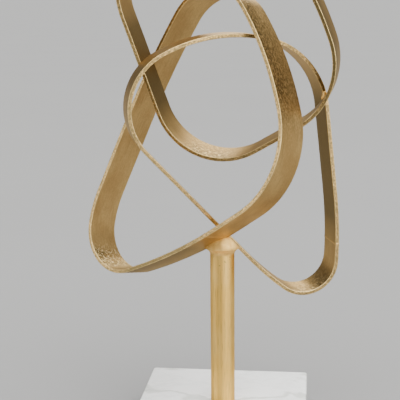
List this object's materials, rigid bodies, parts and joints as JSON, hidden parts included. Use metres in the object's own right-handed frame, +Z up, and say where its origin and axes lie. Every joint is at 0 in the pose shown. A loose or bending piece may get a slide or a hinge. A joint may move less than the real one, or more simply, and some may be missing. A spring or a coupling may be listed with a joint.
{
  "type": "metal knot sculpture",
  "caption": "Abstract knot of linked, welded flat-bar hoops on a round post, screwed to a square marble block with a non-slip sheet beneath.",
  "frame": {"origin": "middle of the non-slip sheet's underside, on the surface that the sculpture stands on and on the post's axis", "axes": "+Z up along the post, +Y away from the front, +X to the right seen from the front"},
  "size_m": [0.2142, 0.14, 0.4395],
  "materials": {
    "hoop_metal": "antiqued brass colour, brushed, with brown shading in the worn streaks",
    "post_metal": "satin antiqued brass colour, lighter than the hoops",
    "weld_metal": "bright ground weld in the same colour",
    "marble": "polished white marble with faint grey veins, opaque",
    "fastener_steel": "zinc-plated steel",
    "sheet_rubber": "black non-slip rubber sheet"
  },
  "bodies": {
    "root": {"upper_hoop": "hoop_metal", "right_hoop": "hoop_metal", "left_hoop": "hoop_metal", "post": "post_metal", "upper_hoop_seam": "weld_metal", "right_hoop_seam": "weld_metal", "left_hoop_seam": "weld_metal", "post_weld": "weld_metal", "left_shoulder_weld": "weld_metal", "right_cheek_weld": "weld_metal", "crown_weld": "weld_metal", "upper_left_weld": "weld_metal", "marble_block": "marble", "base_screw": "fastener_steel", "base_washer": "fastener_steel", "base_sheet": "sheet_rubber"}
  },
  "joints": []
}
